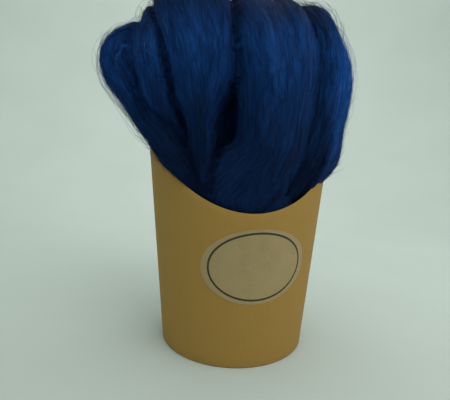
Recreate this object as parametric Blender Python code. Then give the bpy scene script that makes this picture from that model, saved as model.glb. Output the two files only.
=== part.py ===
"""Wool roving in a scoop cup.

A hank of carded wool, folded back and forth, stands in a round tapered cup of kraft
card and falls over the cup's scooped rim. Units are metres with +Z up. The origin is
on the surface it stands on, in the middle of its footprint, and the front faces -Y.
Lengths below are in millimetres, and every mesh turns them into metres.
"""

import math
from collections import namedtuple

import bmesh
import bpy
from mathutils import Vector

MM = 0.001

# The cup: one sheet of card rolled to a cone, its lower edge turned in around the base.
CUP_AXIS = (8.93, -2.1)  # the cup's axis, from the middle of the whole footprint
CUP_FOOT_RADIUS = 47.1
CUP_FLARE = 0.0884  # growth of the radius for each millimetre of height
CARD = 0.5
RIM_FRONT = 89.0  # the rim's height at the front, and at the back
RIM_BACK = 146.0
SCOOP_LENGTH = 117.0  # along the front rim, from its lowest point to where it levels out
SEAM_WIDTH = 9.0  # the glued overlap, up the back
SEAM_RAMP = 2.5
TURN_IN_HEIGHT = 6.5
SLOT = 1.2  # between the wall and the turned-in edge, for the base's flange
SLOT_FLOOR = 0.9
FOOT_BEVEL = 0.35
CUP_SEGMENTS = 72

# The base: a disc of card whose flange stands in the slot.
GAP = 0.3
BASE_TOP = TURN_IN_HEIGHT + GAP + CARD

# The sticker: a bare oval of paper on the front of the cup.
LABEL_WIDTH = 63.5
LABEL_HEIGHT = 42.3
LABEL_CENTRE = 59.8  # its height above the surface
LABEL_ALONG = 4.5  # how far it sits round the wall from the cup's front, to the right
LABEL_TILT = math.radians(3.8)
LABEL_THICKNESS = 0.3
LABEL_COLUMNS = 32

# The wool: each fold is one bundle of sliver that rises from the cup, turns over and
# goes back down. Places are measured from the cup's axis, and turn is the compass
# direction in which a section is wide, in degrees from +X.
Row = namedtuple("Row", "x y z half_width half_depth turn")

LEFT_BIGHT = (
    Row(-14, -37, 84, 7, 6, 70),
    Row(-26, -39, 97, 8, 6, 60),
    Row(-36, -35, 111, 10, 7.5, 60),
    Row(-46, -28, 126, 13, 8.5, 70),
    Row(-57, -20, 141, 15, 9.5, 80),
    Row(-68, -13, 157, 17, 10.5, 85),
    Row(-76, -7, 168, 18, 11, 90),
    Row(-77, -3, 178.5, 18, 11, 90),
    Row(-70.5, 3, 188, 18, 10, 90),
    Row(-60, 8, 193, 18, 9.5, 90),
    Row(-45, 15, 186, 17, 9, 90),
    Row(-30, 18, 164, 16, 9, 90),
)
INNER_LEFT = (
    Row(-27, -24, 94, 8, 10, 0),
    Row(-34, -25, 113, 8, 11, 0),
    Row(-42, -26, 131, 8.5, 12, 0),
    Row(-50.5, -26, 149, 11, 14, 0),
    Row(-53.5, -24, 165, 12, 17, 0),
    Row(-54, -19, 179, 12.5, 16, 0),
    Row(-51.5, -6, 194, 13.5, 14.5, 0),
    Row(-50, 10, 195.5, 14, 13.5, 0),
    Row(-50, 26, 176, 15, 16, -15),
    Row(-45, 33, 150, 18, 19, -35),
    Row(-36, 32, 112, 17, 18, -40),
)
CENTRE = (
    Row(-27, -36, 90, 6.5, 9, 0),
    Row(-27, -36.5, 106, 6.5, 10, 0),
    Row(-27, -36, 122, 6.5, 11, 0),
    Row(-27.5, -34, 136, 7.5, 12, 0),
    Row(-28.5, -30, 148, 14, 15, 0),
    Row(-28.5, -27, 160, 19, 19, 0),
    Row(-30.5, -24, 178, 22, 21, 0),
    Row(-33.5, -20, 197, 23, 20, 0),
    Row(-34.5, -11, 212, 22, 18, 0),
    Row(-35, 4, 219, 23, 16.5, 0),
    Row(-33, 20, 209, 23, 18, 0),
    Row(-31, 30, 186, 22, 21, 0),
    Row(-26, 33, 152, 20, 23, 0),
    Row(-18, 29, 112, 18, 22, 0),
)
FRONT = (
    Row(0, -25, 84, 26, 24, 0),
    Row(1, -25, 96, 27, 25.5, 0),
    Row(6, -27, 109, 24, 26.5, 0),
    Row(11.5, -28, 122, 20, 28, 0),
    Row(14, -28, 140, 20.5, 28, 0),
    Row(14.5, -27, 160, 22.5, 28, 0),
    Row(13, -24, 180, 25, 24.5, 0),
    Row(12, -17, 195, 27, 19, 0),
    Row(11.5, -4, 205, 28.5, 17, 0),
    Row(11, 12, 204, 28.5, 18, 0),
    Row(13, 26, 186, 25, 22, 0),
    Row(12, 31, 160, 25, 25, 0),
    Row(9, 31, 132, 24, 26, 0),
    Row(5, 26, 104, 22, 24, 0),
)
FRONT_RIGHT = (
    Row(20, -35, 88, 9, 9, 15),
    Row(29, -36, 108, 10, 10.5, 20),
    Row(35, -36, 132, 10, 12, 25),
    Row(39, -34, 156, 11, 14, 25),
    Row(40, -30, 177, 11, 15, 20),
    Row(40, -20, 194, 12.5, 14, 10),
    Row(40, -5, 206, 13.5, 13.5, 0),
    Row(40, 13, 204.5, 13.5, 14, 0),
    Row(38, 28, 184, 14, 18, -15),
    Row(36, 34, 156, 15, 19, -25),
    Row(29, 32, 115, 15, 18, -30),
)
RIGHT_BAND = (
    Row(23, -33, 85, 12, 8.5, 25),
    Row(36.5, -32.5, 102, 13, 10.5, 35),
    Row(43, -28, 121, 16, 13, 45),
    Row(48.5, -21, 144, 18, 13, 50),
    Row(53.5, -17, 167, 19, 13.5, 50),
    Row(51.5, -13, 185, 19, 13.5, 45),
    Row(47, -1, 197.5, 17, 12.5, 20),
    Row(46, 14, 195, 16, 13, 0),
    Row(49, 26, 180, 17, 14, -30),
    Row(46.5, 31, 155, 19, 14, -45),
    Row(39, 32, 118, 17, 12, -45),
)
FOLDS = {
    "left_bight": LEFT_BIGHT,
    "inner_left": INNER_LEFT,
    "centre": CENTRE,
    "front": FRONT,
    "front_right": FRONT_RIGHT,
    "right_band": RIGHT_BAND,
}
STEPS_PER_ROW = 2
FOLD_POINTS = 24  # round each section
SQUARENESS = 2.3  # a section's superellipse power, 2 being an ellipse
RIDGE = 0.035  # height of the lengthwise ridges, as a share of the section

# The packed wool inside the cup, domed up between the folds. Each ring takes a share of
# the cup's inner radius and lies below the rim, which it follows round the scoop.
WOOL_FLOOR = BASE_TOP + GAP
WALL_CLEARANCE = 0.5
RIM_CLEARANCE = 2.0
RIM_CLEAR_DEPTH = 7.0  # how far down inside the rim the wool draws away from it
OVERHANG_REACH = 36.0  # this far outside the wall, the wool's underside
OVERHANG_RISE = 41.0  # has risen by this much, sloping up and out
Hang = namedtuple("Hang", "angle half_angle depth")
HANGS = (
    # where a fold hangs over the rim: the middle of the stretch and half its length, in
    # degrees round the cup from its front, and how far down the outside it comes
    Hang(80.0, 48.0, 20.0),
    Hang(-100.0, 42.0, 12.0),
    Hang(180.0, 60.0, 5.0),
    Hang(-180.0, 60.0, 5.0),
)
CORE_SEGMENTS = 40
CORE_TOP = 186.0
CoreRing = namedtuple("CoreRing", "share below_rim")
CORE_RINGS = (
    CoreRing(1.0, 9.0),
    CoreRing(0.9, 3.0),
    CoreRing(0.76, 2.0),
)
CoreDome = namedtuple("CoreDome", "z radius_x radius_y")
CORE_DOME = (
    CoreDome(152.0, 44.0, 26.0),
    CoreDome(172.0, 40.0, 20.0),
    CoreDome(CORE_TOP, 24.0, 10.0),
)


def clear_scene():
    for obj in list(bpy.data.objects):
        bpy.data.objects.remove(obj)


def principled(name, colour, roughness):
    material = bpy.data.materials.new(name)
    material.use_nodes = True
    shader = material.node_tree.nodes["Principled BSDF"]
    shader.inputs["Base Color"].default_value = (*colour, 1.0)
    shader.inputs["Roughness"].default_value = roughness
    return material


def add_object(name, mesh_data, parent, material):
    """Makes a named object from a bmesh, standing on the cup's axis."""
    bmesh.ops.recalc_face_normals(mesh_data, faces=mesh_data.faces[:])
    mesh = bpy.data.meshes.new(name)
    mesh_data.to_mesh(mesh)
    mesh_data.free()
    mesh.shade_smooth()
    mesh.set_sharp_from_angle(angle=math.radians(35))
    mesh.materials.append(material)
    obj = bpy.data.objects.new(name, mesh)
    bpy.context.scene.collection.objects.link(obj)
    obj.parent = parent
    return obj


def as_guide(obj):
    obj.hide_render = True
    obj.display_type = "WIRE"


def on_cup(angle, radius, z):
    """A point in metres at an angle from the cup's front, counted to the right."""
    return Vector((radius * math.sin(angle), -radius * math.cos(angle), z)) * MM


def cup_radius(z):
    return CUP_FOOT_RADIUS + CUP_FLARE * z


def rim_height(angle):
    """The scooped rim: low in front, rising in a half wave to its level back."""
    along = min(abs(angle) * cup_radius(RIM_FRONT), SCOOP_LENGTH)
    rise = (1 - math.cos(math.pi * along / SCOOP_LENGTH)) / 2
    return RIM_FRONT + (RIM_BACK - RIM_FRONT) * rise


def hang_depth(angle):
    """How far the wool hangs below the rim outside the wall, easing in from both sides."""
    depth = 0.0
    for hang in HANGS:
        away = min(abs(math.degrees(angle) - hang.angle) / hang.half_angle, 1.0)
        depth += hang.depth * (1 + math.cos(math.pi * away)) / 2
    return depth


def bridge_rings(mesh_data, rings, closed):
    """Joins rings of points, which have the same count, with faces."""
    pairs = list(zip(rings, rings[1:]))
    if closed:
        pairs.append((rings[-1], rings[0]))
    for lower, upper in pairs:
        for i in range(len(lower)):
            j = (i + 1) % len(lower)
            mesh_data.faces.new((lower[i], lower[j], upper[j], upper[i]))


def new_ring(mesh_data, points):
    return [mesh_data.verts.new(point) for point in points]


def seam_swell(angle):
    """How far the overlap stands out: a cut edge on one side and a ramp on the other."""
    half = SEAM_WIDTH / 2
    along = (abs(angle) - math.pi) * math.copysign(1, angle) * cup_radius(RIM_BACK)
    if along <= -half or along >= half + SEAM_RAMP:
        return 0.0
    return CARD * min(1.0, (half + SEAM_RAMP - along) / SEAM_RAMP)


def wall_angles():
    """Even steps round the cup, and two close together at the seam's cut edge."""
    step = 2 * math.pi / CUP_SEGMENTS
    cut_edge = math.pi - SEAM_WIDTH / 2 / cup_radius(RIM_BACK)
    even = [step * (i - CUP_SEGMENTS / 2) for i in range(CUP_SEGMENTS)]
    edge = [cut_edge - 0.0005, cut_edge + 0.0005]
    return sorted([a for a in even if abs(a - cut_edge) > step / 4] + edge)


def build_cup_wall(parent):
    mesh_data = bmesh.new()
    turn_in = CARD + SLOT
    profile = (
        # how far in from the outer surface, and the height; None is the rim
        (0.0, None),
        (0.0, FOOT_BEVEL * 2),
        (FOOT_BEVEL, 0.0),
        (turn_in + CARD - FOOT_BEVEL, 0.0),
        (turn_in + CARD, FOOT_BEVEL * 2),
        (turn_in + CARD, TURN_IN_HEIGHT),
        (turn_in, TURN_IN_HEIGHT),
        (turn_in, SLOT_FLOOR),
        (CARD, SLOT_FLOOR),
        (CARD, None),
    )
    angles = wall_angles()
    rings = []
    for inset, height in profile:
        ring = []
        for angle in angles:
            z = rim_height(angle) if height is None else height
            outside = inset == 0.0
            swell = seam_swell(angle) if outside else 0.0
            ring.append(on_cup(angle, cup_radius(z) - inset + swell, z))
        rings.append(new_ring(mesh_data, ring))
    bridge_rings(mesh_data, rings, closed=True)
    material = principled("kraft_card", (0.42, 0.29, 0.13), 0.75)
    return add_object("cup_wall", mesh_data, parent, material)


def build_cup_base(parent):
    mesh_data = bmesh.new()
    flange_out = CARD + GAP
    flange_in = flange_out + SLOT - 2 * GAP
    flange_foot = SLOT_FLOOR + GAP
    profile = (
        (flange_out, BASE_TOP),
        (flange_out, flange_foot),
        (flange_in, flange_foot),
        (flange_in, BASE_TOP - CARD),
    )
    step = 2 * math.pi / CUP_SEGMENTS
    rings = []
    for inset, z in profile:
        radius = cup_radius(z) - inset
        rings.append(
            new_ring(mesh_data, [on_cup(step * i, radius, z) for i in range(CUP_SEGMENTS)])
        )
    bridge_rings(mesh_data, rings, closed=False)
    mesh_data.faces.new(rings[0])
    mesh_data.faces.new(rings[-1])
    material = principled("kraft_card_base", (0.40, 0.28, 0.13), 0.8)
    return add_object("cup_base", mesh_data, parent, material)


def label_point(u, v, lift):
    """A point of the sticker, u across it and v up it, lifted off the wall."""
    across = u * math.cos(LABEL_TILT) - v * math.sin(LABEL_TILT)
    upward = u * math.sin(LABEL_TILT) + v * math.cos(LABEL_TILT)
    z = LABEL_CENTRE + upward * math.cos(math.atan(CUP_FLARE))
    angle = (LABEL_ALONG + across) / cup_radius(LABEL_CENTRE)
    return on_cup(angle, cup_radius(z) + lift, z)


def build_label(parent):
    mesh_data = bmesh.new()
    half_width, half_height = LABEL_WIDTH / 2, LABEL_HEIGHT / 2
    loops = []
    for i in range(1, LABEL_COLUMNS):
        turn = math.pi * i / LABEL_COLUMNS
        u, v = -half_width * math.cos(turn), half_height * math.sin(turn)
        corners = ((v, GAP + LABEL_THICKNESS), (v, GAP), (-v, GAP), (-v, GAP + LABEL_THICKNESS))
        loops.append(new_ring(mesh_data, [label_point(u, up, lift) for up, lift in corners]))
    bridge_rings(mesh_data, loops, closed=False)
    mesh_data.faces.new(loops[0])
    mesh_data.faces.new(loops[-1])
    material = principled("cream_label_paper", (0.55, 0.50, 0.36), 0.6)
    return add_object("label", mesh_data, parent, material)


def smooth_row(rows, position):
    """Row values at a fractional position, on a curve through all the rows."""
    i = min(int(position), len(rows) - 2)
    t = position - i
    before, start = rows[max(i - 1, 0)], rows[i]
    end, after = rows[i + 1], rows[min(i + 2, len(rows) - 1)]
    values = []
    for a, b, c, d in zip(before, start, end, after):
        bend = (2 * a - 5 * b + 4 * c - d) * t * t + (3 * b - a - 3 * c + d) * t**3
        values.append((2 * b + (c - a) * t + bend) / 2)
    return Row(*values)


def ridged_radius(angle, position, seed):
    """The lengthwise ridges of a bundle, drifting slowly round it along its length."""
    wave = math.sin(5 * angle + seed + 0.35 * position)
    wave += 0.7 * math.sin(8 * angle + 2.1 * seed - 0.25 * position)
    return 1 + RIDGE * wave


def section_points(row, along, position, seed):
    """One closed section of a fold, across its path."""
    turn = math.radians(row.turn)
    wide = Vector((math.cos(turn), math.sin(turn), 0.0))
    wide = (wide - along * wide.dot(along)).normalized()
    deep = along.cross(wide)
    centre = Vector((row.x, row.y, row.z))
    points = []
    for i in range(FOLD_POINTS):
        angle = 2 * math.pi * i / FOLD_POINTS
        c, s = math.cos(angle), math.sin(angle)
        reach = (abs(c) ** SQUARENESS + abs(s) ** SQUARENESS) ** (-1 / SQUARENESS)
        reach *= ridged_radius(angle, position, seed)
        offset = wide * (row.half_width * reach * c) + deep * (row.half_depth * reach * s)
        points.append((centre + offset) * MM)
    return points


def build_fold(name, rows, seed, parent, material):
    """A bundle swept along its rows, closed at both buried ends."""
    mesh_data = bmesh.new()
    rings = []
    count = (len(rows) - 1) * STEPS_PER_ROW
    for step in range(count + 1):
        position = step / STEPS_PER_ROW
        ahead = smooth_row(rows, min(position + 0.05, len(rows) - 1))
        behind = smooth_row(rows, max(position - 0.05, 0))
        along = Vector(ahead[:3]) - Vector(behind[:3])
        row = smooth_row(rows, position)
        points = section_points(row, along.normalized(), position, seed)
        rings.append(new_ring(mesh_data, points))
    bridge_rings(mesh_data, rings, closed=False)
    mesh_data.faces.new(rings[0])
    mesh_data.faces.new(rings[-1])
    return add_object(name, mesh_data, parent, material)


def build_core(parent, material):
    """The wool packed into the cup, domed up between the folds."""
    mesh_data = bmesh.new()
    angles = [2 * math.pi * i / CORE_SEGMENTS for i in range(CORE_SEGMENTS)]
    inset = CARD + WALL_CLEARANCE
    floor_radius = cup_radius(WOOL_FLOOR) - inset
    rings = [new_ring(mesh_data, [on_cup(a, floor_radius, WOOL_FLOOR) for a in angles])]
    for ring in CORE_RINGS:
        points = []
        for angle in angles:
            turned = (angle + math.pi) % (2 * math.pi) - math.pi
            z = rim_height(turned) - ring.below_rim
            points.append(on_cup(angle, (cup_radius(z) - inset) * ring.share, z))
        rings.append(new_ring(mesh_data, points))
    for dome in CORE_DOME:
        points = []
        for angle in angles:
            x, y = dome.radius_x * math.sin(angle), -dome.radius_y * math.cos(angle)
            points.append(Vector((x, y, dome.z)) * MM)
        rings.append(new_ring(mesh_data, points))
    bridge_rings(mesh_data, rings, closed=False)
    mesh_data.faces.new(rings[0])
    mesh_data.faces.new(rings[-1])
    return add_object("wool_roving", mesh_data, parent, material)


def build_rim_cutter(parent, material):
    """A thick copy of the wall: what it cuts away leaves the wool clear of the card."""
    mesh_data = bmesh.new()
    angles = [2 * math.pi * i / CORE_SEGMENTS for i in range(CORE_SEGMENTS)]
    inner_low = CARD + WALL_CLEARANCE
    profile = (
        # how far in from the outer surface, the height from the rim, or None for the
        # foot, and the share of a hanging fold's depth by which it lies lower there
        (inner_low, None, 0),
        (inner_low, -RIM_CLEAR_DEPTH, 0),
        (CARD + RIM_CLEARANCE, -RIM_CLEARANCE, 0),
        (CARD + RIM_CLEARANCE, RIM_CLEARANCE, 0),
        (-RIM_CLEARANCE, RIM_CLEARANCE, 0),
        (-RIM_CLEARANCE, 0.0, 1),
        (-OVERHANG_REACH, OVERHANG_RISE, 1),
        (-OVERHANG_REACH, None, 0),
    )
    rings = []
    for inset, height, hanging in profile:
        points = []
        for angle in angles:
            turned = (angle + math.pi) % (2 * math.pi) - math.pi
            if height is None:
                z = 0.0
            else:
                z = rim_height(turned) + height - hanging * hang_depth(turned)
            points.append(on_cup(angle, cup_radius(z) - inset, z))
        rings.append(new_ring(mesh_data, points))
    bridge_rings(mesh_data, rings, closed=True)
    cutter = add_object("rim_cutter", mesh_data, parent, material)
    as_guide(cutter)
    return cutter


def build_wool(parent):
    material = principled("carded_wool", (0.006, 0.025, 0.09), 0.9)
    wool = build_core(parent, material)
    for seed, (name, rows) in enumerate(FOLDS.items()):
        fold = build_fold(name, rows, seed, parent, material)
        as_guide(fold)
        join = wool.modifiers.new(name, "BOOLEAN")
        join.operation = "UNION"
        join.solver = "EXACT"
        join.use_self = True
        join.object = fold
    cut = wool.modifiers.new("clear_of_rim", "BOOLEAN")
    cut.operation = "DIFFERENCE"
    cut.solver = "EXACT"
    cut.object = build_rim_cutter(parent, material)
    return wool


clear_scene()
cup_axis = bpy.data.objects.new("cup_axis", None)
bpy.context.scene.collection.objects.link(cup_axis)
cup_axis.location = (CUP_AXIS[0] * MM, CUP_AXIS[1] * MM, 0.0)
build_cup_wall(cup_axis)
build_cup_base(cup_axis)
build_label(cup_axis)
build_wool(cup_axis)
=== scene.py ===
import math
from collections import namedtuple

import bpy
import numpy as np
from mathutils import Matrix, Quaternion, Vector
from mathutils.bvhtree import BVHTree
from mathutils.kdtree import KDTree


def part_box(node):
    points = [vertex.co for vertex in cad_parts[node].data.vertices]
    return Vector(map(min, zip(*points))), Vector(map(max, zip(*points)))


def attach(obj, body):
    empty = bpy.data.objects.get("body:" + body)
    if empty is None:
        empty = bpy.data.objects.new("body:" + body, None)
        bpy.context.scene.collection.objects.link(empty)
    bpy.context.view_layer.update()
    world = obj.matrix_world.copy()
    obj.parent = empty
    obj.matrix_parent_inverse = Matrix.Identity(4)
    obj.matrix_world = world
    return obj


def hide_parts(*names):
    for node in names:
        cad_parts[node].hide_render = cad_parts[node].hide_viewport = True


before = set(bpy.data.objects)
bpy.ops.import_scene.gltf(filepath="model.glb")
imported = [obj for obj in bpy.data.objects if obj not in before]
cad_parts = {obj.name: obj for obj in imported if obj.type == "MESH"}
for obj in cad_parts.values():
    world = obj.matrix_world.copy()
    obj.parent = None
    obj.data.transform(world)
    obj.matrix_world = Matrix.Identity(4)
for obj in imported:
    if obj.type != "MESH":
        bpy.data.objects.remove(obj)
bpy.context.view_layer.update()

MM = 0.001
bpy.ops.object.select_all(action="DESELECT")


# ---------------------------------------------------------------------------------
# The camera stands 17 cm in front of the cup and a little to its left, not far above
# the low front of its rim, and is held slightly askew.
# ---------------------------------------------------------------------------------
CAMERA_PLACE = Vector((-0.02887, -0.2250, 0.1092))
CAMERA_AIM = Vector((0.00149, -0.00109, 0.0915))
CAMERA_ROLL = 0.0382
CAMERA_LENS = 26.5
CAMERA_SENSOR = 36.0

bpy.ops.object.camera_add(location=CAMERA_PLACE)
camera = bpy.context.object
camera.rotation_mode = "QUATERNION"
looking = (CAMERA_AIM - CAMERA_PLACE).to_track_quat("-Z", "Y")
camera.rotation_quaternion = looking @ Quaternion((0.0, 0.0, 1.0), CAMERA_ROLL)
camera.data.lens = CAMERA_LENS
camera.data.sensor_width = CAMERA_SENSOR
bpy.context.scene.camera = camera
bpy.context.scene.view_settings.view_transform = "Standard"


# ---------------------------------------------------------------------------------
# The cup's wall is one die-cut blank of kraft card, rolled to a cone, glued where its
# ends overlap up the back, and turned in round the foot to hold the base. Its rim is
# scooped low in front. The blank starts as a flat grid and is rolled point by point.
# ---------------------------------------------------------------------------------
CUP_FOOT_RADIUS = 47.1
CUP_FLARE = 0.0884  # growth of the radius for each millimetre of height
CARD = 0.5
RIM_FRONT = 89.0
RIM_BACK = 146.0
SCOOP_LENGTH = 117.0  # along the front rim, from its lowest point to where it levels out
OVERLAP = 9.0
OVERLAP_RAMP = 2.5
GLUE = 0.02
TURN_IN = 1.7  # between the wall's outer face and the turned-in edge's
TURN_IN_HEIGHT = 6.5
FOOT_ROUND = 0.6
FOOT_ROUND_POINTS = 4
CUT_EDGE = 0.1  # how much its cut edges are softened
CUT_ANGLE = math.radians(50)  # an edge that turns more than this is a cut one
BLANK_COLUMNS = 288
WALL_ROWS = 20
KRAFT = "#967539"
KRAFT_DARK = "#927137"
KRAFT_LIGHT = "#9a793d"
# painted a little darker than the wall's kraft, as shade at the foot
KRAFT_BASE_PAINTED_SHADE = "#927138"
SHARP_EDGE = math.radians(40)  # smooth shading stops where faces meet more sharply

base_low, base_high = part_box("cup_base")
CUP_AXIS = np.array([base_low.x + base_high.x, base_low.y + base_high.y, 0.0]) / 2 / MM


def linear(colour):
    """An sRGB hex colour as linear RGBA."""
    channels = [int(colour[i : i + 2], 16) / 255 for i in (1, 3, 5)]
    curved = [c / 12.92 if c <= 0.04045 else ((c + 0.055) / 1.055) ** 2.4 for c in channels]
    return (*curved, 1.0)


def add_node(material, kind, settings=None, inputs=None):
    """A shader node with its settings; an input's value is a number, a colour or a socket."""
    tree = material.node_tree
    node = tree.nodes.new(kind)
    for key, value in (settings or {}).items():
        setattr(node, key, value)
    for key, value in (inputs or {}).items():
        if isinstance(value, bpy.types.NodeSocket):
            tree.links.new(value, node.inputs[key])
        else:
            node.inputs[key].default_value = value
    return node


def new_material(name, constants):
    """A material with its Principled shader, whose constant values are set on the sockets."""
    material = bpy.data.materials.new(name)
    material.use_nodes = True
    shader = material.node_tree.nodes["Principled BSDF"]
    for key, value in constants.items():
        shader.inputs[key].default_value = value
    return material, shader


def add_bump(material, shader, pattern, strength, distance):
    """Raises the surface by a pattern, up to a distance in metres."""
    bump = add_node(
        material,
        "ShaderNodeBump",
        inputs={"Height": pattern, "Strength": strength, "Distance": distance},
    )
    material.node_tree.links.new(bump.outputs["Normal"], shader.inputs["Normal"])


def ramp(material, factor, stops):
    """A colour ramp through the given (place, hex colour) stops."""
    node = add_node(material, "ShaderNodeValToRGB", inputs={"Fac": factor})
    elements = node.color_ramp.elements
    while len(elements) < len(stops):
        elements.new(0.5)
    for element, (place, colour) in zip(elements, stops):
        element.position = place
        element.color = linear(colour)
    return node.outputs["Color"]


def cup_radius(z):
    """The radius of the wall's outer face, by height."""
    return CUP_FOOT_RADIUS + CUP_FLARE * z


def rim_height(angle):
    """The scooped rim, by the angle from the cup's front: a half wave up to the level back."""
    turned = np.abs((angle + math.pi) % (2 * math.pi) - math.pi)
    along = np.minimum(turned * cup_radius(RIM_FRONT), SCOOP_LENGTH)
    return RIM_FRONT + (RIM_BACK - RIM_FRONT) * (1 - np.cos(math.pi * along / SCOOP_LENGTH)) / 2


def on_cup(angle, radius, z):
    """Points in metres at an angle from the cup's front, counted to the right."""
    across = CUP_AXIS[0] + radius * np.sin(angle)
    deep = CUP_AXIS[1] - radius * np.cos(angle)
    return np.stack(np.broadcast_arrays(across, deep, z), axis=-1) * MM


def read_points(mesh):
    """A mesh's points as rows of x, y and z, in metres."""
    points = np.zeros(len(mesh.vertices) * 3, np.float32)
    mesh.vertices.foreach_get("co", points)
    return points.reshape(-1, 3).astype(float)


def write_points(mesh, points):
    mesh.vertices.foreach_set("co", np.asarray(points, np.float32).ravel())
    mesh.update()


def finish_piece(piece, slot_name, *nodes):
    """Puts a finished piece on the part's one body, in place of the solids it stands for."""
    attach(piece, "root")
    if nodes:
        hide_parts(*nodes)
    piece.select_set(False)


def apply_modifier(piece, kind, **settings):
    """Adds a modifier to the selected, active piece and applies it."""
    modifier = piece.modifiers.new(kind.lower(), kind)
    for key, value in settings.items():
        setattr(modifier, key, value)
    bpy.ops.object.modifier_apply(modifier=modifier.name)


def turn_faces_out():
    """Turns the active mesh's faces to one side, the outer one where it is closed."""
    bpy.ops.object.mode_set(mode="EDIT")
    bpy.ops.mesh.select_all(action="SELECT")
    bpy.ops.mesh.normals_make_consistent(inside=False)
    bpy.ops.object.mode_set(mode="OBJECT")


def sheet_profile():
    """The blank's middle, foot to rim: how far in from the outer face, and the height."""
    middle = CARD / 2
    inner = TURN_IN + middle
    bends = np.linspace(0.0, math.pi / 2, FOOT_ROUND_POINTS)
    profile = [(inner, TURN_IN_HEIGHT), (inner, TURN_IN_HEIGHT / 2)]
    for bend in bends:
        profile.append((
            inner - FOOT_ROUND * (1 - math.cos(bend)),
            middle + FOOT_ROUND * (1 - math.sin(bend)),
        ))
    for bend in bends[::-1]:
        profile.append((
            middle + FOOT_ROUND * (1 - math.cos(bend)),
            middle + FOOT_ROUND * (1 - math.sin(bend)),
        ))
    return np.array(profile)


profile = sheet_profile()
blank_rows = len(profile) + WALL_ROWS - 1
bpy.ops.mesh.primitive_grid_add(x_subdivisions=BLANK_COLUMNS, y_subdivisions=blank_rows, size=1.0)
wall = bpy.context.object
wall.name = "card_wall"
flat = read_points(wall.data)
row = np.rint((flat[:, 1] + 0.5) * blank_rows).astype(int)
overlap_angle = OVERLAP / 2 / cup_radius(RIM_BACK)
ramp_angle = OVERLAP_RAMP / cup_radius(RIM_BACK)
angle = (math.pi + overlap_angle) * 2 * flat[:, 0]
on_profile = profile[np.minimum(row, len(profile) - 1)]
climb = np.clip((row - len(profile) + 1) / WALL_ROWS, 0.0, 1.0)
height = on_profile[:, 1] + climb * (rim_height(angle) - on_profile[:, 1])
over = np.clip((overlap_angle + ramp_angle - angle - math.pi) / ramp_angle, 0.0, 1.0)
is_wall = row >= len(profile) - 1
radius = cup_radius(height) - on_profile[:, 0] + over * (CARD + GLUE) * is_wall
write_points(wall.data, on_cup(angle, radius, height))
turn_faces_out()
apply_modifier(wall, "SOLIDIFY", thickness=CARD * MM, offset=0.0)
apply_modifier(
    wall, "BEVEL", width=CUT_EDGE * MM, segments=2, limit_method="ANGLE", angle_limit=CUT_ANGLE
)
bpy.ops.object.shade_smooth_by_angle(angle=SHARP_EDGE)


def kraft_material(name, base):
    """Unbleached kraft board: brown, matt, with short fibres pressed flat in its face."""
    material, shader = new_material(name, {"Roughness": 0.72, "IOR": 1.5, "Specular IOR Level": 0.2})
    place = add_node(material, "ShaderNodeTexCoord").outputs["Object"]
    fibres = []
    for tilt in (0.4, -0.7):
        # short fibres, 0.6 mm from one to the next across and 3.4 mm along, laid two ways
        turned = add_node(
            material,
            "ShaderNodeMapping",
            inputs={"Vector": place, "Rotation": (0.0, tilt, 0.0), "Scale": (5000, 5000, 850)},
        )
        noise = add_node(
            material,
            "ShaderNodeTexNoise",
            inputs={"Vector": turned.outputs["Vector"], "Scale": 0.35, "Detail": 2.0},
        )
        fibres.append(noise.outputs["Fac"])
    pressed = add_node(
        material, "ShaderNodeMath", {"operation": "ADD"}, {0: fibres[0], 1: fibres[1]}
    )
    clouds = add_node(
        material, "ShaderNodeTexNoise", inputs={"Vector": place, "Scale": 90.0, "Detail": 3.0}
    )
    uneven = add_node(
        material,
        "ShaderNodeMath",
        {"operation": "MULTIPLY_ADD"},
        {0: clouds.outputs["Fac"], 1: 0.5, 2: pressed.outputs["Value"]},
    )
    spread = add_node(
        material,
        "ShaderNodeMapRange",
        inputs={"Value": uneven.outputs["Value"], "From Min": 0.85, "From Max": 1.65},
    )
    colour = ramp(
        material,
        spread.outputs["Result"],
        [(0.0, KRAFT_DARK), (0.45, base), (0.6, base), (1.0, KRAFT_LIGHT)],
    )
    material.node_tree.links.new(colour, shader.inputs["Base Color"])
    add_bump(material, shader, pressed.outputs["Value"], 0.25, 0.0001)
    return material


kraft = kraft_material("unbleached_kraft_board", KRAFT)
wall.data.materials.clear()
wall.data.materials.append(kraft)
finish_piece(wall, "card", "cup_wall")


# ---------------------------------------------------------------------------------
# The base is a disc of the same card, pressed up so that its flange stands in the
# wall's turned-in edge. The solid is right as it is and only takes its finish.
# ---------------------------------------------------------------------------------
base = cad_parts["cup_base"]
base.data.materials.clear()
# its kraft is painted a little darker than the wall's, as shade at the foot
base.data.materials.append(kraft_material("kraft_board_base", KRAFT_BASE_PAINTED_SHADE))


# ---------------------------------------------------------------------------------
# The sticker is an oval of thin cream paper on the cup's front, bare inside its one
# printed line. It is cut from a flat disc, inset ring by ring and wrapped on the cone.
# ---------------------------------------------------------------------------------
LABEL_CENTRE = 59.8
LABEL_ALONG = 4.5
LABEL_TILT = math.radians(3.8)
LABEL_THICKNESS = 0.2
LABEL_LIFT = 0.05
LABEL_POINTS = 128
LABEL_RINGS = (
    # half the width and half the height of each ring of points, from the edge inwards
    (31.75, 21.15),
    (31.4, 20.8),
    (27.8, 19.4),
    (26.65, 18.25),
    (22.0, 15.0),
    (16.5, 11.3),
    (11.0, 7.5),
    (5.5, 3.8),
)
PRINTED_RING = 2  # the line fills the faces between this ring and the next
RING_STEP = 0.1


def label_point(u, v, lift):
    """A point of the sticker, u across it and v up it, lifted off the wall."""
    across = u * math.cos(LABEL_TILT) - v * math.sin(LABEL_TILT)
    upward = u * math.sin(LABEL_TILT) + v * math.cos(LABEL_TILT)
    z = LABEL_CENTRE + upward * math.cos(math.atan(CUP_FLARE))
    return on_cup((LABEL_ALONG + across) / cup_radius(LABEL_CENTRE), cup_radius(z) + lift, z)


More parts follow.
